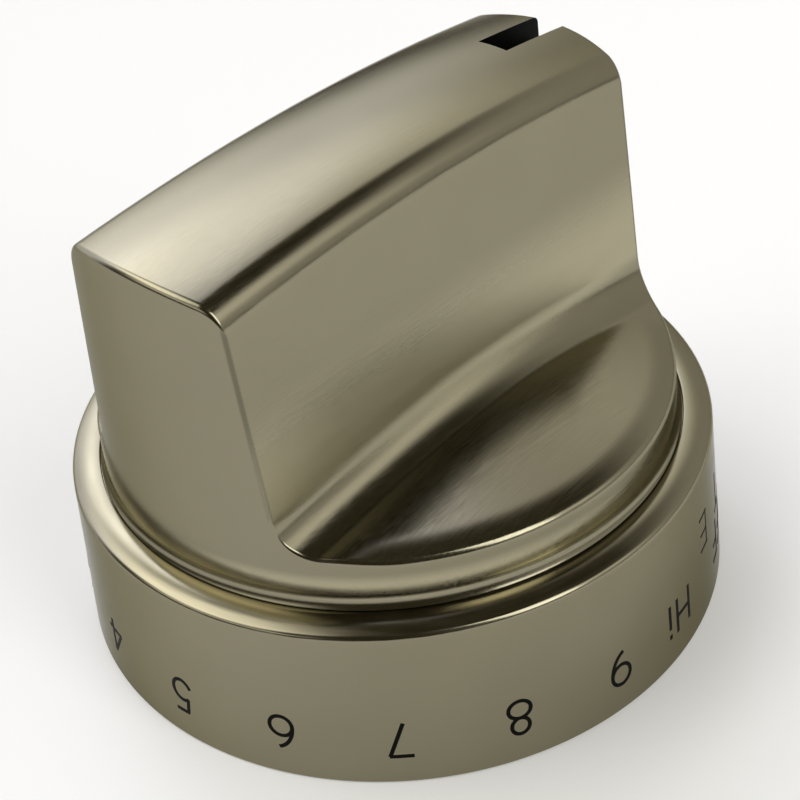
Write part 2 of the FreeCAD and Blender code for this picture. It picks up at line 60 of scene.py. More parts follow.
# %% [markdown]
# ## Small helpers
#
# A surface here is always a grid of points. One helper turns grids into quads, one joins
# several grids into a mesh, and one makes the object. Points that fall together, as at a
# pole or along a shared border, are merged, and edges sharper than a set angle stay crisp
# while the rest is shaded smooth. That is simpler than bevels, and it follows the formula.


# %% Grids and meshes
def grid_faces(rows, columns, keep=None):
    """Quads between neighbouring points of a rows by columns grid, without the cells that keep leaves out."""
    first = np.arange(rows - 1)[:, None] * columns + np.arange(columns - 1)[None, :]
    quads = np.stack([first, first + 1, first + columns + 1, first + columns], axis=-1)
    if keep is not None:
        return quads[keep]
    return quads.reshape(-1, 4)


def joined(patches):
    """Several grids as one set of vertices and faces. A patch is (points, keep, flipped)."""
    vertices, faces, count = [], [], 0
    for points, keep, flipped in patches:
        quads = grid_faces(points.shape[0], points.shape[1], keep) + count
        faces.append(quads[:, ::-1] if flipped else quads)
        vertices.append(points.reshape(-1, 3))
        count += points.shape[0] * points.shape[1]
    return np.concatenate(vertices), np.concatenate(faces)


def make_piece(name, vertices, faces, crisp=35.0, merge=0.002):
    """A smooth mesh object from vertices in millimetres. Edges over crisp degrees stay sharp."""
    mesh = bpy.data.meshes.new(name)
    mesh.from_pydata((vertices * MM).tolist(), [], faces.tolist())
    shape = bmesh.new()
    shape.from_mesh(mesh)
    bmesh.ops.remove_doubles(shape, verts=shape.verts, dist=merge * MM)
    bmesh.ops.dissolve_degenerate(shape, edges=shape.edges, dist=merge * MM * 0.1)
    bmesh.ops.recalc_face_normals(shape, faces=shape.faces)
    shape.to_mesh(mesh)
    shape.free()
    mesh.shade_smooth()
    mesh.set_sharp_from_angle(angle=math.radians(crisp))
    piece = bpy.data.objects.new(name, mesh)
    bpy.context.scene.collection.objects.link(piece)
    print(name, len(mesh.vertices), "vertices,", len(mesh.polygons), "faces")
    return piece


def arc(centre, radius, first, last, count):
    """Points of a circle in its own plane, from one angle to another, both in radians."""
    turn = np.linspace(first, last, count)
    return np.stack([centre[0] + radius * np.cos(turn), centre[1] + radius * np.sin(turn)], axis=-1)


def spread(count, power):
    """Numbers from 0 to 1, closer together towards 0 when power is above 1 and towards 1 when it is below."""
    return np.linspace(0.0, 1.0, count) ** power


# %% [markdown]
# ## The grip's sizes
#
# The grip is a round casting whose two sides are scooped away, so that a straight blade
# stands across it. Its blade has three roundings that catch the light differently: the
# crown is almost flat, the long edges are soft, and the edge at each end is tight. The
# sizes are the CAD part's, in millimetres, and seat and top come from the frame. Foot,
# cove and rim are the polished ones, which are a few tenths lower or rounder.

# %% Sizes of the casting
GRIP_TOP = grip_high[2]
SEAT = grip_low[2]
SEAM_HEIGHT = SEAT + 0.5
FOOT_RADIUS = 24.66
WALL_RADIUS = 24.25
FOOT_TOP = SEAM_HEIGHT + 0.2
WALL_START = FOOT_TOP + 1.1
COVE_START = FOOT_TOP + 0.65
COVE_END = math.radians(38.0)
FOOT_BREAK = 0.16
WALL_DRAFT = math.radians(2.0)
SHOULDER = SEAM_HEIGHT + 4.2
BLADE_HALF = 8.0
BLADE_DRAFT = math.radians(5.3)
SHOULDER_SLOPE = math.radians(9.0)
SHOULDER_THICKNESS = 2.2
CAVITY_RADIUS = 22.0
WELL_RADIUS = 6.1
WELL_DEPTH = 7.1
FACE_BREAK = 0.1
HOLLOW_RADIUS = 3.4
CROWN_LENGTH = 187.0
CROWN_WIDTH = 26.0
LONG_EDGE = 2.7
SLOT_HALF = 1.5
SLOT_START = 15.9
SLOT_FLOOR = GRIP_TOP - 4.0
RIM_AT_SHOULDER = 0.7
RIM_AT_HOLLOW = 0.4
RIM_AT_CORNER = 0.28
RIM_AT_TOP = 0.62
RIM_INSIDE_WALL = 0.84
EASE_WIDTH = 2.3
EASE_RADIUS = 8.0
OPEN_TURN = math.radians(14.0)


def wall_radius(z):
    """The drafted wall leans in by the same amount for every millimetre of height."""
    return WALL_RADIUS - (z - WALL_START) * math.tan(WALL_DRAFT)


print("grip from", round(SEAT, 2), "to", round(GRIP_TOP, 2), "shoulder at", round(SHOULDER, 2))

# %% [markdown]
# ## The section across the blade
#
# Seen from its end, half the blade is five stretches: crown, long edge, drafted side,
# hollow and shoulder. The whole top of the grip is this section carried along the blade.
# It isn't a plain sweep: the crown sinks towards both ends, so the long edge slides down
# the drafted side with it, and the shoulders slope up from their rim as one low cone, so
# the hollow rises towards the middle. Both roundings are circles whose centre keeps one
# distance from two surfaces, so a formula places them exactly.

# %% Stations along the section
SLOT_STATIONS = 5
CROWN_STATIONS = 18
EDGE_STATIONS = 22
SIDE_STATIONS = 20
HOLLOW_STATIONS = 20
SHOULDER_STATIONS = 48
COUNTS = [SLOT_STATIONS, CROWN_STATIONS, EDGE_STATIONS, SIDE_STATIONS, HOLLOW_STATIONS, SHOULDER_STATIONS]
stretch = np.repeat(np.arange(6), COUNTS)
open_shares = [np.linspace(0, 1, count + 1)[:-1] for count in COUNTS[:-1]]
along = np.concatenate(open_shares + [np.linspace(0, 1, SHOULDER_STATIONS)])
in_slot, in_crown, in_edge, in_side, in_hollow, in_shoulder = (stretch == number for number in range(6))
along[in_side] = (1 - np.cos(np.pi * along[in_side])) / 2

DRAFT_SINE, DRAFT_COSINE = math.sin(BLADE_DRAFT), math.cos(BLADE_DRAFT)
SLOPE_SINE, SLOPE_COSINE = math.sin(SHOULDER_SLOPE), math.cos(SHOULDER_SLOPE)
SHOULDER_REACH = wall_radius(SHOULDER)


def side_offset(z):
    """The drafted side stands further out by the same amount for every millimetre down from the crown."""
    return BLADE_HALF + (GRIP_TOP - z) * math.tan(BLADE_DRAFT)


def shoulder_height(x, y):
    """The shoulders' cone: it rises towards the axis from its rim on the wall."""
    return SHOULDER + (SHOULDER_REACH - np.hypot(x, y)) * math.tan(SHOULDER_SLOPE)


def hollow_centre(x):
    """The centre of a ball that touches side and shoulder, one radius from each, found by repetition."""
    z = SHOULDER + HOLLOW_RADIUS + 0 * x
    for _ in range(30):
        y = side_offset(z) + HOLLOW_RADIUS / DRAFT_COSINE
        z = shoulder_height(x, y) + HOLLOW_RADIUS / SLOPE_COSINE
    return y, z


def cone_normal(turn, lean=SHOULDER_SLOPE):
    """The shoulder's normal leans outward by its slope, along the radius at that turn."""
    level = np.sin(lean)
    return np.stack([level * np.cos(turn), level * np.sin(turn), np.cos(lean) + 0 * turn], axis=-1)


def opened(turn):
    """0 where the hollow runs out over the wall and 1 from a set turn on, with a smooth step between."""
    share = np.clip((turn - shoulder_first) / OPEN_TURN, 0, 1)
    return share ** 2 * (3 - 2 * share)


def easing(x, y):
    """Polishing draws the shoulder's rim down. Returns how far it sinks under the cone there, and how
    much steeper it is."""
    past = np.maximum(np.hypot(x, y) - (SHOULDER_REACH - EASE_WIDTH), 0.0)
    share = opened(np.arctan2(y, x))
    return share * past ** 2 / (2 * EASE_RADIUS), share * past / EASE_RADIUS


def between_normals(first, last, share):
    """Directions between two unit vectors by equal steps of angle."""
    angle = np.arccos(np.clip((first * last).sum(-1), -1, 1))[..., None]
    return (np.sin((1 - share) * angle) * first + np.sin(share * angle) * last) / np.sin(angle)


# %% [markdown]
# ## Where the top meets the wall
#
# The casting has no sharp rim: a rounding runs from the shoulder up the blade's corner and
# over its end, with its largest radius on the open shoulder and its smallest at the corner.
# Polishing also draws the last stretch of the shoulder down a little, which shows as a dark
# line inside the rim. The rounding is a ball rolled along the meeting of the two surfaces,
# and it touches the shoulder a set share of its radius inside the wall. The shoulder's
# part comes first, because there all is turned about the axis.

# %% The shoulder's rim
FIRST_GUESS = 20.0
hollow_end_x = np.array([FIRST_GUESS])
shoulder_first = 0.0
for _ in range(80):
    hollow_end_y = hollow_centre(hollow_end_x)[0]
    touch_radius = np.hypot(hollow_end_x, hollow_end_y) - HOLLOW_RADIUS * SLOPE_SINE
    shoulder_first = float(np.arctan2(hollow_end_y, hollow_end_x)[0])
    hollow_end_x = hollow_end_x * (SHOULDER_REACH - RIM_AT_HOLLOW * RIM_INSIDE_WALL) / touch_radius
shoulder_turn = shoulder_first + along[in_shoulder] * (math.pi / 2 - shoulder_first)

rim_radius = np.concatenate([
    np.full(SLOT_STATIONS + CROWN_STATIONS, RIM_AT_TOP),
    np.linspace(RIM_AT_TOP, RIM_AT_CORNER, EDGE_STATIONS),
    np.full(SIDE_STATIONS, RIM_AT_CORNER),
    np.linspace(RIM_AT_CORNER, RIM_AT_HOLLOW, HOLLOW_STATIONS),
    np.full(SHOULDER_STATIONS, RIM_AT_HOLLOW)])
rim_radius[in_shoulder] += (RIM_AT_SHOULDER - RIM_AT_HOLLOW) * opened(shoulder_turn)

ring_z = SHOULDER - rim_radius[in_shoulder]
rim_lean = SHOULDER_SLOPE + 0 * shoulder_turn
for _ in range(60):
    ring_radius = wall_radius(ring_z) - rim_radius[in_shoulder] / math.cos(WALL_DRAFT)
    touch = ring_radius + rim_radius[in_shoulder] * np.sin(rim_lean)
    sinking, steeper = easing(touch * np.cos(shoulder_turn), touch * np.sin(shoulder_turn))
    rim_lean = np.arctan(math.tan(SHOULDER_SLOPE) + steeper)
    ring_z = shoulder_height(touch, 0.0) - sinking - rim_radius[in_shoulder] * np.cos(rim_lean)
print("the shoulder starts at", round(math.degrees(shoulder_first), 1), "degrees")
print("the rim's ring is at", ring_radius[-1].round(2), ring_z[-1].round(2))

# %% [markdown]
# ## The top as a formula
#
# The section is worked out for a share of the way from the middle to the rim, at every
# station at once. Each stretch gives its own points and normals.


# %% The top's points and normals
def crown_and_edge(x):
    """The crown's centre sinks by the sagitta of the long crown; the edge's centre is where the lines one
    radius inside the crown and inside the side cross. Returns both centres and the angle where they meet."""
    level = np.sqrt(CROWN_LENGTH ** 2 - x ** 2)
    crown_z = GRIP_TOP - CROWN_LENGTH + level - CROWN_WIDTH
    across = BLADE_HALF * DRAFT_COSINE + (GRIP_TOP - crown_z) * DRAFT_SINE - LONG_EDGE
    up = np.sqrt((CROWN_WIDTH - LONG_EDGE) ** 2 - across ** 2)
    edge_y = across * DRAFT_COSINE - up * DRAFT_SINE
    edge_z = crown_z + across * DRAFT_SINE + up * DRAFT_COSINE
    return crown_z, edge_y, edge_z, np.arctan2(edge_z - crown_z, edge_y), x / level


def top_surface(share, reach):
    """Points and normals at a share of each station's reach along X. Crown and edge: centre plus radius
    times direction. Side: straight down to the hollow's ball. Hollow: centre less radius times direction.
    Shoulder: the cone's height over a grid that follows the hollow's border and fades to the rim."""
    x = share[:, None] * reach
    crown_z, edge_y, edge_z, meeting, slope = crown_and_edge(x)
    hollow_y, hollow_z = hollow_centre(x)
    slot_angle = math.acos(SLOT_HALF / CROWN_WIDTH)
    angle = np.full_like(x, BLADE_DRAFT)
    angle[:, in_slot] = np.arccos(along[in_slot] * SLOT_HALF / CROWN_WIDTH)
    angle[:, in_crown] = slot_angle + along[in_crown] * (meeting[:, in_crown] - slot_angle)
    angle[:, in_edge] = meeting[:, in_edge] + along[in_edge] * (BLADE_DRAFT - meeting[:, in_edge])
    crowned = in_slot | in_crown
    lean = np.zeros_like(x)
    lean[:, crowned] = slope[:, crowned] * np.sin(angle[:, crowned])
    fading = np.sin(angle - BLADE_DRAFT) / np.sin(meeting - BLADE_DRAFT)
    lean[:, in_edge] = (slope * np.sin(meeting) * fading)[:, in_edge]
    normal = np.stack([lean, np.cos(angle), np.sin(angle)], axis=-1)
    normal /= np.linalg.norm(normal, axis=-1, keepdims=True)

    radius = np.where(crowned, CROWN_WIDTH, LONG_EDGE)
    y = np.where(crowned, 0.0, edge_y) + radius * np.cos(angle)
    z = np.where(crowned, crown_z, edge_z) + radius * np.sin(angle)
    high, low = edge_z + LONG_EDGE * DRAFT_SINE, hollow_z - HOLLOW_RADIUS * DRAFT_SINE
    z[:, in_side] = (high + along * (low - high))[:, in_side]
    y[:, in_side] = side_offset(z[:, in_side])
    points = np.stack([x, y, z], axis=-1)

    side_normal = np.array([0.0, DRAFT_COSINE, DRAFT_SINE]) + 0 * points[:, in_hollow]
    centre = np.stack([x, hollow_y, hollow_z], axis=-1)[:, in_hollow]
    foot_normal = cone_normal(np.arctan2(hollow_y, x)[:, in_hollow])
    normal[:, in_hollow] = between_normals(side_normal, foot_normal, along[in_hollow][None, :, None])
    points[:, in_hollow] = centre - HOLLOW_RADIUS * normal[:, in_hollow]

    border_x = share * hollow_end_x
    border_y = hollow_centre(border_x)[0]
    border_y = border_y - HOLLOW_RADIUS * SLOPE_SINE * np.sin(np.arctan2(border_y, border_x))
    swell = (border_y - touch[0] * math.sin(shoulder_first))[:, None] * (1 - along[in_shoulder]) ** 2
    flat_x = share[:, None] * touch * np.cos(shoulder_turn)
    flat_y = touch * np.sin(shoulder_turn) + swell
    sunk, steep = easing(flat_x, flat_y)
    points[:, in_shoulder] = np.stack([flat_x, flat_y, shoulder_height(flat_x, flat_y) - sunk], axis=-1)
    tilt = np.arctan(math.tan(SHOULDER_SLOPE) + steep)
    normal[:, in_shoulder] = cone_normal(np.arctan2(flat_y, flat_x), tilt)
    return points, normal


# %% [markdown]
# The ball's centre is one ball radius inside the top and inside the wall. Its place along
# X comes from a few rounds of the same sum, for every station at once. The strip that it
# leaves is an arc from the top's normal to the wall's normal.

# %% The rolled rim
ROLL_ROWS = 13
ALL_THE_WAY = np.array([1.0])
rim_x = np.full(len(along), FIRST_GUESS)
for _ in range(60):
    points, normals = top_surface(ALL_THE_WAY, rim_x)
    ball = points[0] - rim_radius[:, None] * normals[0]
    ball_reach = wall_radius(ball[:, 2]) - rim_radius / math.cos(WALL_DRAFT)
    ball_x = np.sqrt(np.maximum(ball_reach ** 2 - ball[:, 1] ** 2, 0.0))
    rim_x = rim_x + ball_x - ball[:, 0]
ball[:, 0] = np.where(in_shoulder, ball[:, 0], ball_x)
ball[-1, 0] = 0.0
rim_turn = np.arctan2(ball[:, 1], ball[:, 0])
wall_normal = np.stack([
    np.cos(rim_turn) * math.cos(WALL_DRAFT), np.sin(rim_turn) * math.cos(WALL_DRAFT),
    np.full(len(along), math.sin(WALL_DRAFT))], axis=-1)
step = np.linspace(0, 1, ROLL_ROWS)[:, None, None]
strip = ball + rim_radius[None, :, None] * between_normals(normals[0], wall_normal, step)
print("rim at the blade's middle", strip[0, 0].round(2), "and the shoulder's", strip[0, -1].round(2))

# %% [markdown]
# ## One quarter, four times
#
# The top, the rim, the wall, the cove and the foot are grids with the same columns, so
# they close without a gap. One quarter is worked out and mirrored to all four, because
# the casting is symmetric apart from the pointer slot. In the two quarters at the slot
# the cells inside it are left out, and the same grid pressed down flat is the slot's
# floor. A boolean cut would do too, but it leaves slivers along the crown. Underneath are
# the round hollow and the hub's well. The ribs and screw bosses in there are the CAD
# part's alone, because the hub covers them.

# %% The quarter's grids
ROWS_TO_SLOT = 18
ROWS_PAST_SLOT = 17
TOWARDS_RIM = 1.8
TOP_ROWS = ROWS_TO_SLOT + ROWS_PAST_SLOT
SLOT_ROW = ROWS_TO_SLOT - 1
slot_share = SLOT_START / rim_x[0]
past_slot = 1 - spread(ROWS_PAST_SLOT + 1, TOWARDS_RIM)[::-1]
to_slot = np.linspace(0, slot_share, ROWS_TO_SLOT)
share = np.concatenate([to_slot, slot_share + (1 - slot_share) * past_slot[1:]])
top, _ = top_surface(share, rim_x)
top[-1] = strip[0]

UPPER_ROWS = 4
LOWER_ROWS = 16
LEAST_UPPER_SHARE = 0.05
TOWARDS_COVE = 1.6
wall_top = strip[-1, :, 2]
wall_break = np.minimum(SLOT_FLOOR, wall_top - LEAST_UPPER_SHARE * (wall_top - COVE_START))
upper_z = wall_top + np.linspace(0, 1, UPPER_ROWS + 1)[:, None] * (wall_break - wall_top)
lower_share = 1 - spread(LOWER_ROWS, TOWARDS_COVE)[::-1]
lower_z = wall_break + lower_share[:, None] * (COVE_START - wall_break)
wall_z = np.concatenate([upper_z, lower_z[1:]])


def turned(profile, turn):
    """A turned surface: every (radius, height) of the profile, placed at every turn about the axis."""
    radius, height = profile[:, 0][:, None], profile[:, 1][:, None]
    return np.stack([radius * np.cos(turn), radius * np.sin(turn), height + 0 * turn], axis=-1)


wall_reach = wall_radius(wall_z)
wall = np.stack([wall_reach * np.cos(rim_turn), wall_reach * np.sin(rim_turn), wall_z], axis=-1)
wall[0] = strip[-1]

COVE_POINTS = 14
FOOT_POINTS = 8
cove_reach = FOOT_RADIUS - FOOT_BREAK * (1 - math.cos(COVE_END)) - wall_radius(COVE_START)
cove_radius = cove_reach / (math.cos(WALL_DRAFT) - math.cos(COVE_END))
cove_centre = (wall_radius(COVE_START) + cove_radius * math.cos(WALL_DRAFT), COVE_START)
cove = arc(cove_centre, cove_radius, math.pi + WALL_DRAFT, math.pi + COVE_END, COVE_POINTS)
edge_centre = (FOOT_RADIUS - FOOT_BREAK, cove[-1, 1] - FOOT_BREAK * math.sin(COVE_END))
foot_edge = arc(edge_centre, FOOT_BREAK, COVE_END, 0.0, FOOT_POINTS)
cavity_roof = SHOULDER - SHOULDER_THICKNESS
under = [
    [FOOT_RADIUS, SEAT + FACE_BREAK], [FOOT_RADIUS - FACE_BREAK, SEAT], [CAVITY_RADIUS + FACE_BREAK, SEAT],
    [CAVITY_RADIUS + FACE_BREAK / 2, SEAT + FACE_BREAK], [CAVITY_RADIUS, cavity_roof],
    [WELL_RADIUS, cavity_roof], [WELL_RADIUS, SEAT + WELL_DEPTH], [0.0, SEAT + WELL_DEPTH]]
foot = np.concatenate([cove, foot_edge[1:], under])
print("cove radius", round(cove_radius, 2), "end", cove[-1].round(2), "foot's edge", foot_edge[-1].round(2))
foot_grid = turned(foot, rim_turn)

# %% [markdown]
# The slot's floor is the left-out patch at one height. Its side is a grid between the
# patch's border and the floor's border, and so is its inner end.

# %% Join the four quarters
SLOT_ROWS = 4
patch_rows = np.concatenate([top[SLOT_ROW:, :SLOT_STATIONS + 1], strip[1:, :SLOT_STATIONS + 1],
                             wall[1:UPPER_ROWS + 1, :SLOT_STATIONS + 1]])
floor_rows = patch_rows.copy()
floor_rows[..., 2] = SLOT_FLOOR
depth = np.linspace(0, 1, SLOT_ROWS)[:, None, None]
slot_side = patch_rows[:, -1] * (1 - depth) + floor_rows[:, -1] * depth
slot_end = patch_rows[0] * (1 - depth) + floor_rows[0] * depth


def left_open(grid, first_row, last_row):
    """The cells to keep in a grid whose slot cells, between two rows, are left out."""
    keep = np.ones((grid.shape[0] - 1, grid.shape[1] - 1), bool)
    keep[first_row:last_row, :SLOT_STATIONS] = False
    return keep


patches = []
for side_x in (1, -1):
    for side_y in (1, -1):
        mirror = np.array([side_x, side_y, 1])
        flipped = side_x * side_y < 0
        slotted = side_x > 0
        patches.append((top * mirror, left_open(top, SLOT_ROW, TOP_ROWS) if slotted else None, flipped))
        patches.append((strip * mirror, left_open(strip, 0, ROLL_ROWS) if slotted else None, flipped))
        patches.append((wall * mirror, left_open(wall, 0, UPPER_ROWS) if slotted else None, flipped))
        patches.append((foot_grid * mirror, None, flipped))
        if slotted:
            patches.append((floor_rows * mirror, None, flipped))
            patches.append((slot_side * mirror, None, flipped))
            patches.append((slot_end * mirror, None, flipped))
grip = make_piece("grip_casting", *joined(patches))

# %% [markdown]
# ## The dial skirt
#
# The skirt is a turned ring, so it is one profile carried round the axis: the broken edge
# at the panel, the flaring wall, the rounded edge, the polished band that swells up
# towards the grip, and the flange inside that the hub clamps. The rounded edge touches
# wall and band, and the band touches the seam's edge, so their sizes are found by
# repetition. The profile is a closed loop, so the ring has its inside as well. The two
# keyways in the flange are the CAD part's alone, because the hub covers them too.

# %% The skirt's profile
BASE_RADIUS = min(skirt_high[0], skirt_high[1])
EDGE_RADIUS = BASE_RADIUS - 0.85
BAND_WIDTH = 2.43
BAND_DROP = 0.8
SEAM_RADIUS = EDGE_RADIUS - BAND_WIDTH
BAND_CREST = SEAM_HEIGHT - 0.25
BAND_TILT = math.radians(26.0)
CREST_TILT = math.radians(-3.0)
EDGE_ROUNDING = 0.55
SEAM_ROUNDING = 0.08
SEAM_BREAK = 0.02
SKIRT_WALL = 1.8
FOOT_EDGE = 0.15
FLANGE_RADIUS = SEAM_RADIUS - 3.6
FLANGE_LOW = SEAT - 1.6
FLANGE_CORNER = 0.4
WALL_POINTS = 20
ROUNDING_POINTS = 14
BAND_POINTS = 22
SEAM_POINTS = 7
TOWARDS_EDGE = 0.7
STEPS_AROUND = 288


def pointing(angle):
    """The unit vector at an angle in the profile's plane."""
    return np.array([math.cos(angle), math.sin(angle)])


flare = math.atan2(BASE_RADIUS - EDGE_RADIUS, SEAM_HEIGHT - BAND_DROP - FOOT_EDGE)
up_at_edge, up_at_seam = math.pi / 2 - BAND_TILT, math.pi / 2 - CREST_TILT
seam_x = SEAM_RADIUS + SEAM_ROUNDING
edge_z = SEAM_HEIGHT - BAND_DROP
for _ in range(20):
    edge_x = BASE_RADIUS - (edge_z - FOOT_EDGE) * math.tan(flare) - EDGE_ROUNDING / math.cos(flare)
    spare = edge_x + EDGE_ROUNDING * math.cos(up_at_edge) - seam_x - SEAM_ROUNDING * math.cos(up_at_seam)
    band_radius = spare / (math.cos(up_at_edge) - math.cos(up_at_seam))
    edge_z = BAND_CREST - band_radius - (EDGE_ROUNDING - band_radius) * math.sin(up_at_edge)
band_centre = np.array([edge_x, edge_z]) + (EDGE_ROUNDING - band_radius) * pointing(up_at_edge)
seam_centre = band_centre + (band_radius - SEAM_ROUNDING) * pointing(up_at_seam)
rounding = arc((edge_x, edge_z), EDGE_ROUNDING, flare, up_at_edge, ROUNDING_POINTS)
band = arc(band_centre, band_radius, up_at_edge, up_at_seam, BAND_POINTS)
seam_edge = arc(seam_centre, SEAM_ROUNDING, up_at_seam, math.pi, SEAM_POINTS)
wall_low = np.array([BASE_RADIUS, FOOT_EDGE])
flaring_wall = wall_low + (rounding[0] - wall_low) * spread(WALL_POINTS, TOWARDS_EDGE)[:-1, None]
inner_radius = EDGE_RADIUS - SKIRT_WALL
inside = np.array([
    [SEAM_RADIUS, SEAT + SEAM_BREAK], [SEAM_RADIUS - SEAM_BREAK, SEAT], [FLANGE_RADIUS, SEAT],
    [FLANGE_RADIUS, FLANGE_LOW], [inner_radius - FLANGE_CORNER, FLANGE_LOW],
    [inner_radius - FACE_BREAK, FLANGE_LOW - FACE_BREAK], [inner_radius, FLANGE_LOW - FLANGE_CORNER],
    [inner_radius, FACE_BREAK], [inner_radius + FACE_BREAK, 0.0], [BASE_RADIUS - FOOT_EDGE, 0.0],
    [BASE_RADIUS, FOOT_EDGE]])
profile = np.concatenate([flaring_wall, rounding, band[1:], seam_edge[1:], inside])
around = np.linspace(0, 2 * math.pi, STEPS_AROUND + 1)
skirt = make_piece("dial_skirt_ring", *joined([(turned(profile, around), None, False)]))
print("band radius", round(band_radius, 2), "crest", round(band[:, 1].max(), 2), "edge", rounding[0].round(2))

# %% [markdown]
# ## The printed numbers
#
# The dial's numbers stand on their heads when the knob faces you, because they are read
# from above with the pointer at the top. Each figure is a few strokes of one width, as
# a pad print is: arcs and straight runs, drawn in a square where 1 is the figure's height.
# A thin rectangle is carried along each stroke, and the strokes are wrapped round the
# flaring wall. A text object would need the same wrapping, and its shapes are a font's.
# The off position has a second word in thinner, wider set letters above its name.

# %% Strokes of the figures
FIGURE_HEIGHT = 3.5
STROKE = 0.33
INK = 0.02
PRINT_HEIGHT = 4.5
LETTER_GAP = 0.2
DIAL_START = math.radians(-136.8)
DIAL_STEP = math.radians(19.45)
HIGH_TURN = math.radians(-81.8)
OFF_TURN = math.radians(-56.6)
SECOND_TURN = math.radians(-55.1)
SECOND_LINE = 4.2
SECOND_GAP = 0.97
SECOND_STROKE = 0.17


def bow(x, y, wide, high, first, last, count=22):
    """Part of an ellipse about (x, y), from one angle to another in degrees."""
    turn = np.radians(np.linspace(first, last, count))
    return np.stack([x + wide * np.cos(turn), y + high * np.sin(turn)], axis=-1)


def run(*corners):
    """Straight runs between corners."""
    return np.array(corners, float)


FIGURES = {
    "2": (0.58, [np.concatenate([bow(0.29, 0.74, 0.25, 0.25, 170, -30), run((0.02, 0.02))]),
                 run((0.02, 0.02), (0.56, 0.02))]),
    "3": (0.58, [bow(0.28, 0.755, 0.22, 0.225, 165, -80), bow(0.28, 0.27, 0.26, 0.26, 80, -165)]),
    "4": (0.62, [run((0.45, 0.0), (0.45, 0.98)), run((0.45, 0.98), (0.02, 0.27)),
                 run((0.0, 0.27), (0.62, 0.27))]),
    "5": (0.58, [bow(0.28, 0.32, 0.27, 0.31, 130, -160), run((0.12, 0.55), (0.17, 0.98)),
                 run((0.15, 0.98), (0.53, 0.98))]),
    "6": (0.6, [bow(0.3, 0.3, 0.27, 0.29, 0, 360, 40), bow(0.52, 0.3, 0.49, 0.67, 180, 105)]),
    "7": (0.58, [run((0.02, 0.98), (0.57, 0.98)), run((0.555, 0.98), (0.2, 0.0))]),
    "8": (0.6, [bow(0.3, 0.745, 0.21, 0.235, 0, 360, 40), bow(0.3, 0.26, 0.265, 0.25, 0, 360, 40)]),
    "9": (0.6, [bow(0.3, 0.7, 0.27, 0.29, 0, 360, 40), bow(0.08, 0.7, 0.49, 0.67, 0, -75)]),
    "H": (0.66, [run((0.05, 0.0), (0.05, 1.0)), run((0.61, 0.0), (0.61, 1.0)),
                 run((0.05, 0.52), (0.61, 0.52))]),
    "i": (0.14, [run((0.07, 0.0), (0.07, 0.7)), run((0.07, 0.86), (0.07, 0.98))]),
    "L": (0.5, [run((0.05, 1.0), (0.05, 0.0)), run((0.0, 0.03), (0.5, 0.03))]),
    "o": (0.54, [bow(0.27, 0.34, 0.23, 0.31, 0, 360, 32)]),
    "O": (0.76, [bow(0.38, 0.5, 0.34, 0.47, 0, 360, 44)]),
    "F": (0.52, [run((0.05, 0.0), (0.05, 1.0)), run((0.0, 0.97), (0.52, 0.97)),
                 run((0.05, 0.53), (0.46, 0.53))]),
    "I": (0.14, [run((0.07, 0.0), (0.07, 1.0))]),
    "T": (0.6, [run((0.3, 0.0), (0.3, 0.97)), run((0.0, 0.97), (0.6, 0.97))]),
    "E": (0.52, [run((0.05, 0.0), (0.05, 1.0)), run((0.0, 0.97), (0.52, 0.97)),
                 run((0.05, 0.53), (0.47, 0.53)), run((0.0, 0.03), (0.52, 0.03))]),
}


def resampled(path, step=0.06):
    """The path with points no further apart than a step, so that it can bend round the dial."""
    pieces = [path[:1]]
    for start, stop in zip(path[:-1], path[1:]):
        count = max(int(np.ceil(np.linalg.norm(stop - start) / step)), 1)
        pieces.append(start + (stop - start) * np.linspace(0, 1, count + 1)[1:, None])
    return np.concatenate(pieces)


def wrapped(flat, turn, lift):
    """Flat (along, up) points on the dial: along runs against the turn and up runs towards the panel."""
    height = PRINT_HEIGHT - flat[:, 1]
    radius = BASE_RADIUS - (height - FOOT_EDGE) * math.tan(flare) + lift
    angle = turn - flat[:, 0] / radius
    return np.stack([radius * np.cos(angle), radius * np.sin(angle), height], axis=-1)


def inked(path, turn, width=STROKE):
    """A stroke: left and right border half a width from the path, on top of the wall and just inside it."""
    path = resampled(path)
    way = np.gradient(path, axis=0)
    way /= np.linalg.norm(way, axis=1, keepdims=True)
    aside = np.stack([-way[:, 1], way[:, 0]], axis=-1) * width / 2 / FIGURE_HEIGHT
    left, right = (path + aside) * FIGURE_HEIGHT, (path - aside) * FIGURE_HEIGHT
    sides = ((left, INK), (right, INK), (right, -INK), (left, -INK))
    corners = [wrapped(side, turn, lift) for side, lift in sides]
    return np.stack(corners + corners[:1], axis=0)


def printed(word, turn, gap=LETTER_GAP, above=0.0, width=STROKE):
    """All the strokes of a word, centred on a turn of the dial and so many millimetres above the numbers."""
    widths = [FIGURES[letter][0] for letter in word]
    total = sum(widths) + gap * (len(word) - 1)
    at, strokes = -total / 2, []
    for letter, advance in zip(word, widths):
        for path in FIGURES[letter][1]:
            strokes.append(inked(path + np.array([at, -0.5 - above / FIGURE_HEIGHT]), turn, width))
        at += advance + gap
    return strokes


def make_print(name, strokes):
    """One piece of ink: each stroke is a tube of four sides, closed by a cap at each end."""
    vertices, faces, count = [], [], 0
    for stroke in strokes:
        rows, columns = stroke.shape[:2]
        quads = grid_faces(rows, columns) + count
        ends = np.array([[0, 1, 2, 3], [3, 2, 1, 0]]) * columns + np.array([[0], [columns - 1]]) + count
        faces += [quads, ends]
        vertices.append(stroke.reshape(-1, 3))
        count += rows * columns
    return make_piece(name, np.concatenate(vertices), np.concatenate(faces), crisp=50.0, merge=0.0005)


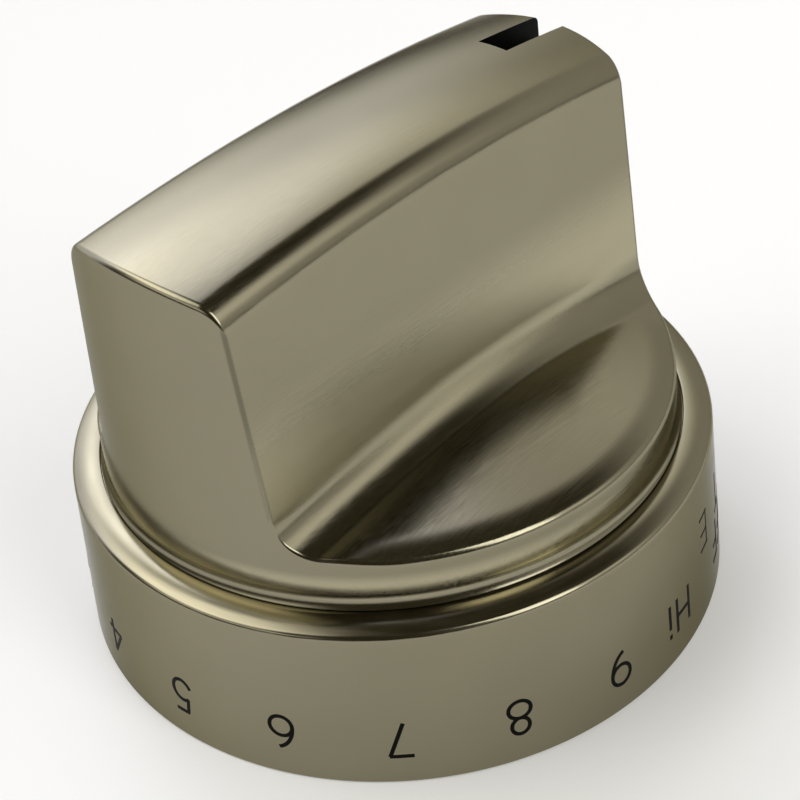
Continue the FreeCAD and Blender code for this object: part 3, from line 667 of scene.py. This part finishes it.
words = {str(figure): DIAL_START + DIAL_STEP * (figure - 7) for figure in range(2, 10)}
words.update({"Hi": HIGH_TURN, "Lo": DIAL_START - DIAL_STEP * 6, "OFF": OFF_TURN})
strokes = printed("LITE", SECOND_TURN, SECOND_GAP, SECOND_LINE, SECOND_STROKE)
for word, turn in words.items():
    strokes += printed(word, turn)
ink = make_print("dial_print", strokes)
print(len(strokes), "strokes")

# %% [markdown]
# ## Materials
#
# A colour is written as it looks on a screen and turned to linear light by one function.
# Another adds a node with its settings and links, and a few short ones name the nodes
# that come back most: sums, noise and a range spread over another range.


# %% Colours and nodes
def colour(code):
    """An sRGB hex colour as linear light: a straight start, then a power of 2.4."""
    parts = [int(code[i:i + 2], 16) / 255 for i in (1, 3, 5)]
    linear = [part / 12.92 if part <= 0.04045 else ((part + 0.055) / 1.055) ** 2.4 for part in parts]
    return (*linear, 1.0)


def add(tree, kind, settings=None, inputs=None, give=None):
    """Adds a node. Settings are its own properties, an input is a plain value or another node's socket,
    and give names the output socket that comes back in place of the node."""
    node = tree.nodes.new(kind)
    for key, value in (settings or {}).items():
        setattr(node, key, value)
    for key, value in (inputs or {}).items():
        if isinstance(value, bpy.types.NodeSocket):
            tree.links.new(value, node.inputs[key])
        else:
            node.inputs[key].default_value = value
    return node.outputs[give] if give else node


def maths(tree, operation, *values):
    """One sum of up to three values, each a plain number or a socket."""
    return add(tree, "ShaderNodeMath", {"operation": operation}, dict(enumerate(values)), "Value")


def noise(tree, place, size, detail):
    """Noise about 0.5, whose largest lumps are about so many metres wide."""
    return add(tree, "ShaderNodeTexNoise", inputs={
        "Vector": place, "Scale": 1 / size, "Detail": detail}, give="Fac")


def mapped(tree, value, first, last, low=0.0, high=1.0, smooth=False):
    """The range from first to last spread over low to high, straight or as a smooth step."""
    kind = "SMOOTHSTEP" if smooth else "LINEAR"
    return add(tree, "ShaderNodeMapRange", {"interpolation_type": kind}, {
        "Value": value, "From Min": first, "From Max": last, "To Min": low, "To Max": high}, "Result")


def new_material(name):
    """An empty material with its output node and its tree."""
    material = bpy.data.materials.new(name)
    material.use_nodes = True
    material.node_tree.nodes.clear()
    return material, material.node_tree, material.node_tree.nodes.new("ShaderNodeOutputMaterial")


# %% [markdown]
# ### Satin nickel
#
# Both castings are nickel plated and brushed. Nickel is a warm, rather dark metal, and the
# brushing leaves lines about a tenth of a millimetre apart. On the grip they run along the
# blade, and on the skirt round the axis. The lines are a noise that is stretched along
# the brushing; they roughen the reflection and tilt it a little. A second, large noise
# makes the plating slightly uneven, as handling does. On the grip, painted bounce light
# makes the foot of the blade's sides and the wall over the cove paler, and a painted dark
# reflection runs down the blade's upright corners; the paler foot of the sides is also duller.


# %% Brushed nickel
NICKEL = ("#86816d", "#8d8873")
EDGE_TINT = "#c2c0b6"
LINE_LENGTH = 4 * MM
LINE_SPACING = MM / 9
LINE_DEPTH = 0.02 * MM
LINE_ROUGHNESS = 0.05
USUAL_NOISE = (0.3, 0.7)
CLOUD_SIZE = 6.25 * MM
CLOUD_ROUGHNESS = 0.06
# Painted light on the grip: how much paler the painted bounce light makes the sides' foot and the wall over
# the cove, and how much darker the painted dark reflection makes the upright corners.
BOUNCE_LIGHT_LIFT = 0.6
FOOT_BOUNCE_LIFT = 0.8
CORNER_SHADE = 0.4
DULLER = 0.2
SMOOTHER = 0.75
INSIDE_SIDE = (0.3, 0.05)
NEAR_CORNER = (0.32, 0.1)
OVER_SHOULDER = (22.0, 23.5)
UNDER_MIDDLE = (33.0, 26.0)
OVER_COVE = (15.9, 16.5)
UNDER_RIM = (18.6, 17.2)


def border(tree, value, limits):
    """A smooth step, 0 at the first limit and 1 at the second, both in millimetres."""
    return mapped(tree, value, limits[0] * MM, limits[1] * MM, smooth=True)


def wear_of_grip(tree, place):
    """Three masks on the grip, each where light or shade is painted into the colour. Bounce zone: the foot of
    the blade's sides, inside their plane, where bounce light is painted paler. Corner: a thin line along the
    four upright corners, where the distances from wall and side add up to nothing, where a dark reflection is
    painted. Foot: the wall just over the cove, where bounce light is painted paler. All come from X, Y and Z."""
    parts = add(tree, "ShaderNodeSeparateXYZ", inputs={"Vector": place})
    z = parts.outputs["Z"]
    flat = add(tree, "ShaderNodeVectorMath", {"operation": "MULTIPLY"}, {
        0: place, 1: (1.0, 1.0, 0.0)}, "Vector")
    radius = add(tree, "ShaderNodeVectorMath", {"operation": "LENGTH"}, {0: flat}, "Value")
    side_there = maths(tree, "MULTIPLY_ADD", z, -math.tan(BLADE_DRAFT), side_offset(0.0) * MM)
    wall_there = maths(tree, "MULTIPLY_ADD", z, -math.tan(WALL_DRAFT), wall_radius(0.0) * MM)
    from_side = maths(tree, "SUBTRACT", side_there, maths(tree, "ABSOLUTE", parts.outputs["Y"]))
    from_wall = maths(tree, "SUBTRACT", wall_there, radius)
    from_corner = maths(tree, "ABSOLUTE", maths(tree, "ADD", from_side, from_wall))
    over_shoulder = border(tree, z, OVER_SHOULDER)
    # The masks below mark where light and shade are painted: bounce light on the sides' foot and over the
    # cove, a dark reflection on the corners.
    low_side = maths(tree, "MULTIPLY", border(tree, from_side, INSIDE_SIDE), over_shoulder)
    painted_bounce_zone = maths(tree, "MULTIPLY", low_side, border(tree, z, UNDER_MIDDLE))
    corner = maths(tree, "MULTIPLY", border(tree, from_corner, NEAR_CORNER), over_shoulder)
    foot = maths(tree, "MULTIPLY", border(tree, z, OVER_COVE), border(tree, z, UNDER_RIM))
    return painted_bounce_zone, corner, foot


def brushed_nickel(name, tint, roughness, line_scale, depth, painted_light=None):
    """Satin nickel with brush lines: line_scale is how many lines lie in a metre along X, Y and Z."""
    material, tree, output = new_material(name)
    place = add(tree, "ShaderNodeTexCoord", give="Object")
    stretched = add(tree, "ShaderNodeMapping", inputs={"Vector": place, "Scale": line_scale}, give="Vector")
    lines = noise(tree, stretched, 1.0, 3.0)
    clouds = noise(tree, place, CLOUD_SIZE, 4.0)
    streaked = mapped(tree, lines, *USUAL_NOISE, roughness - LINE_ROUGHNESS, roughness + LINE_ROUGHNESS)
    rough = maths(tree, "MULTIPLY_ADD", clouds, CLOUD_ROUGHNESS, streaked)
    base = add(tree, "ShaderNodeMix", {"data_type": "RGBA"}, {
        "Factor": clouds, 6: colour(tint[0]), 7: colour(tint[1])}).outputs[2]
    # Painted light: bounce light painted paler on the sides' foot and over the cove, and a dark reflection
    # painted on the upright corners; the sides' foot is also rougher, with shallower lines.
    if painted_light is not None:
        painted_bounce_zone, corner, foot = painted_light(tree, place)
        bounce_lift = maths(tree, "MULTIPLY_ADD", painted_bounce_zone, BOUNCE_LIGHT_LIFT, 1.0)
        bounce_lift = maths(tree, "MULTIPLY_ADD", foot, FOOT_BOUNCE_LIFT, bounce_lift)
        amount = maths(tree, "MULTIPLY", bounce_lift, maths(tree, "MULTIPLY_ADD", corner, -CORNER_SHADE, 1.0))
        base = add(tree, "ShaderNodeVectorMath", {"operation": "SCALE"}, {0: base, "Scale": amount}, "Vector")
        rough = maths(tree, "MULTIPLY_ADD", painted_bounce_zone, DULLER, rough)
        depth = maths(tree, "MULTIPLY_ADD", painted_bounce_zone, -SMOOTHER * depth, depth)
    bump = add(tree, "ShaderNodeBump", inputs={
        "Height": lines, "Strength": depth, "Distance": LINE_DEPTH}, give="Normal")
    metal = add(tree, "ShaderNodeBsdfPrincipled", inputs={
        "Base Color": base, "Metallic": 1.0, "Specular Tint": colour(EDGE_TINT),
        "Roughness": rough, "Normal": bump}, give="BSDF")
    tree.links.new(metal, output.inputs["Surface"])
    return material


LONG, SHORT = 1 / LINE_LENGTH, 1 / LINE_SPACING
along_blade, round_axis = (LONG, SHORT, SHORT), (LONG, LONG, SHORT)
grip_nickel = brushed_nickel("satin_nickel_brushed_along", NICKEL, roughness=0.15,
                             line_scale=along_blade, depth=0.12, painted_light=wear_of_grip)
skirt_nickel = brushed_nickel("satin_nickel_turned", NICKEL, roughness=0.15,
                              line_scale=round_axis, depth=0.25)

# %% [markdown]
# ### Ink, plastic and steel
#
# The ink is a matt black pad print, and the pointer slot is painted with the same black.
# The hub is moulded in black nylon with a fine spark grain, the ring is bright spring
# steel, and the screws are zinc plated. Each keeps a little variation, because none of
# them is one flat colour on the real thing.


# %% Plain finishes
GRAIN_ROUGHNESS = 0.08


def grained(name, tint, metallic, roughness, grain_size, depth, shine=0.5):
    """A finish with a fine grain: noise that moves the roughness and the bump about their usual values."""
    material, tree, output = new_material(name)
    place = add(tree, "ShaderNodeTexCoord", give="Object")
    grain = noise(tree, place, grain_size, 2.0)
    rough = mapped(tree, grain, 0.0, 1.0, roughness - GRAIN_ROUGHNESS, roughness + GRAIN_ROUGHNESS)
    bump = add(tree, "ShaderNodeBump", inputs={
        "Height": grain, "Strength": depth, "Distance": LINE_DEPTH}, give="Normal")
    shader = add(tree, "ShaderNodeBsdfPrincipled", inputs={
        "Base Color": colour(tint), "Metallic": metallic, "Specular IOR Level": shine,
        "Roughness": rough, "Normal": bump}, give="BSDF")
    tree.links.new(shader, output.inputs["Surface"])
    return material


ink_black = grained("pad_print_black", "#070706", 0.0, 0.5, MM / 3, 0.1, shine=0.05)
nylon = grained("moulded_black_nylon", "#1c1c1d", 0.0, 0.55, MM / 5, 0.5)
spring_steel = grained("spring_steel_strip", "#9a9a98", 1.0, 0.28, MM / 2.5, 0.2)
zinc = grained("zinc_plated_steel", "#c2c4c3", 1.0, 0.32, MM / 1.8, 0.2)

# %% Finishes on the pieces
SLACK = 0.02

grip.data.materials.append(grip_nickel)
grip.data.materials.append(ink_black)
painted = 0
for face in grip.data.polygons:
    x, y, z = face.center / MM
    if x > SLOT_START - SLACK and abs(y) < SLOT_HALF + SLACK and z > SLOT_FLOOR - SLACK:
        face.material_index = 1
        painted += 1
print("faces of the slot painted black:", painted)
skirt.data.materials.append(skirt_nickel)
ink.data.materials.append(ink_black)
for node, material in (("stem_hub", nylon), ("clip_ring", spring_steel), ("hub_screws", zinc)):
    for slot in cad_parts[node].material_slots:
        slot.material = material
for piece, slot_name in ((grip, "satin_metal"), (skirt, "skirt_metal"), (ink, "black_plastic")):
    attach(piece, "root")
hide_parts("grip")
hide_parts("dial_skirt")
print("materials", [material.name for material in bpy.data.materials if material.users])

# %% [markdown]
# ## Floor and light
#
# Satin metal shows the room more than the lamps, so the room is what makes it look real.
# Here a pale floor lies under a dark ceiling, and the room between them is a handful of
# soft patches: a tall window behind on the left with the walls and the corner of the
# ceiling that it lights, a doorway, a dim far side, and the glow round the one lamp.
# Where an edge turns from one to the next, it shows the bright and black streaks that
# tell metal from paint. The sum lights a white card about as bright as it is, so every
# colour renders about as it is written.


# %% The floor
PAPER = "#e8e8e6"
FLOOR_GLOW = 0.17
FLOOR_HALF = 2.0


def make_floor():
    """A flat square under the knob, whose white is part paint and part glow, so that a shadow still shows."""
    corners = FLOOR_HALF * np.array([[-1, -1, 0], [1, -1, 0], [1, 1, 0], [-1, 1, 0]])
    mesh = bpy.data.meshes.new("floor")
    mesh.from_pydata(corners.tolist(), [], [(0, 1, 2, 3)])
    floor = bpy.data.objects.new("floor", mesh)
    bpy.context.scene.collection.objects.link(floor)
    material, tree, output = new_material("white_floor")
    paint = add(tree, "ShaderNodeBsdfDiffuse", inputs={"Color": colour(PAPER)}, give="BSDF")
    glow = add(tree, "ShaderNodeEmission", inputs={
        "Color": colour("#ffffff"), "Strength": FLOOR_GLOW}, give="Emission")
    both = add(tree, "ShaderNodeAddShader", inputs={0: paint, 1: glow}, give="Shader")
    tree.links.new(both, output.inputs["Surface"])
    floor.data.materials.append(material)


make_floor()

# %% [markdown]
# A patch of the room is given by where its middle lies, how far it reaches to each side
# and up and down, all in degrees seen from the knob, and how bright it is, where 1 is
# white paper. Its edges are soft, because walls fade and curtains do too. Area lamps
# would do the same with hard edges, which show as lines on a polished rounding.

# %% The room
DAYLIGHT = (0.97, 1.0, 1.22)
LAMPLIGHT = (1.0, 0.98, 0.94)
AMBIENT = (0.06, 0.052, 0.03)
SOFT_SIDE = 24
SOFT_TOP = 18
PATCHES = {
    "window": (59, 38, 19, 27, 1.72, DAYLIGHT),
    "window sill": (88, 15, 26, 26, 1.45, DAYLIGHT),
    "wall over the window": (50, 47, 27, 12, 0.86, LAMPLIGHT),
    "wall beside the window": (107, 44, 45, 12, 0.98, LAMPLIGHT),
    "corner of the ceiling": (133, 56, 36, 16, 2.5, LAMPLIGHT),
    "doorway": (163, 24, 28, 6, 1.6, LAMPLIGHT),
    "far side": (-27, 25, 68, 24, 0.54, LAMPLIGHT),
    "round the lamp": (-60, 36, 12, 12, 0.7, LAMPLIGHT),
}


def make_room():
    """The world as a sum of patches, worked out from each direction's turn and height in radians. A patch is
    the product of two smooth steps: within its width, and within its height."""
    world = bpy.data.worlds.new("room")
    bpy.context.scene.world = world
    world.use_nodes = True
    tree = world.node_tree
    tree.nodes.clear()
    output = tree.nodes.new("ShaderNodeOutputWorld")
    towards = add(tree, "ShaderNodeTexCoord", give="Generated")
    parts = add(tree, "ShaderNodeSeparateXYZ", inputs={"Vector": towards})
    turn = maths(tree, "ARCTAN2", parts.outputs["Y"], parts.outputs["X"])
    height = maths(tree, "ARCSINE", parts.outputs["Z"])
    total = AMBIENT
    for azimuth, elevation, half_width, half_height, strength, tint in PATCHES.values():
        shares = []
        for value, middle, reach, softness in (
                (turn, azimuth, half_width, SOFT_SIDE), (height, elevation, half_height, SOFT_TOP)):
            apart = maths(tree, "SUBTRACT", value, math.radians(middle))
            aside = maths(tree, "ABSOLUTE", maths(tree, "WRAP", apart, math.pi, -math.pi))
            outer, inner = math.radians(reach + softness / 2), math.radians(reach - softness / 2)
            shares.append(mapped(tree, aside, outer, inner, smooth=True))
        share = maths(tree, "MULTIPLY", *shares)
        light = tuple(strength * part for part in tint)
        total = add(tree, "ShaderNodeVectorMath", {"operation": "MULTIPLY_ADD"}, {
            0: share, 1: light, 2: total}, "Vector")
    sky = add(tree, "ShaderNodeBackground", inputs={"Color": total, "Strength": 1.0}, give="Background")
    tree.links.new(sky, output.inputs["Surface"])


make_room()


# %% The lamp
LAMP_AIM = 30 * MM


def direction(azimuth, elevation):
    """The unit vector towards an azimuth and an elevation, both in radians."""
    level = math.cos(elevation)
    return np.array([level * math.cos(azimuth), level * math.sin(azimuth), math.sin(elevation)])


def soft_box(name, azimuth, elevation, distance, half_width, half_height, brightness):
    """An area lamp that faces the knob, as wide and high as it looks from there. Brightness is what a
    mirror would show of it, so the power is brightness times pi times its area."""
    lamp = bpy.data.lights.new(name, "AREA")
    lamp.shape = "RECTANGLE"
    lamp.size = 2 * distance * math.tan(math.radians(half_width))
    lamp.size_y = 2 * distance * math.tan(math.radians(half_height))
    lamp.energy = brightness * math.pi * lamp.size * lamp.size_y
    holder = bpy.data.objects.new(name, lamp)
    azimuth, elevation = math.radians(azimuth), math.radians(elevation)
    away = direction(azimuth, elevation)
    across = np.array([-math.sin(azimuth), math.cos(azimuth), 0.0])
    matrix = np.eye(4)
    matrix[:3, 0], matrix[:3, 1], matrix[:3, 2] = across, np.cross(away, across), away
    matrix[:3, 3] = away * distance + np.array([0, 0, LAMP_AIM])
    holder.matrix_world = mathutils.Matrix(matrix.tolist())
    bpy.context.scene.collection.objects.link(holder)


soft_box("front_box", azimuth=-90, elevation=40, distance=1.0, half_width=12, half_height=20,
         brightness=3.4)
print("patches", len(PATCHES), "and one lamp")

# %% [markdown]
# ## Camera
#
# The camera was found by matching the knob's circles and edges to the photograph: where
# it stands round the knob, how high, how it is rolled, and how long its lens is.

# %% The camera
AZIMUTH = math.radians(-132.95)
ELEVATION = math.radians(37.1)
ROLL = math.radians(6.42)
DISTANCE = 150.9
FOCAL_PIXELS = 1770
IMAGE_PIXELS = 800
SENSOR = 36.0
AIM_HEIGHT = 15.0
AIM_RIGHT = -0.91
AIM_DOWN = 0.88

forward = -direction(AZIMUTH, ELEVATION)
level_right = np.cross(forward, [0, 0, 1.0])
level_right /= np.linalg.norm(level_right)
level_down = np.cross(forward, level_right)
right = math.cos(ROLL) * level_right + math.sin(ROLL) * level_down
down = -math.sin(ROLL) * level_right + math.cos(ROLL) * level_down
stand = np.array([0, 0, AIM_HEIGHT]) - AIM_RIGHT * right - AIM_DOWN * down - DISTANCE * forward
lens = bpy.data.cameras.new("camera")
lens.sensor_width = SENSOR
lens.lens = FOCAL_PIXELS / IMAGE_PIXELS * SENSOR
lens.clip_start = 10 * MM
camera = bpy.data.objects.new("camera", lens)
pose = np.eye(4)
pose[:3, 0], pose[:3, 1], pose[:3, 2], pose[:3, 3] = right, -down, -forward, stand * MM
camera.matrix_world = mathutils.Matrix(pose.tolist())
bpy.context.scene.collection.objects.link(camera)
bpy.context.scene.camera = camera
bpy.context.scene.view_settings.view_transform = "Standard"
print("camera at", stand.round(1), "mm, lens", round(lens.lens, 2), "mm")
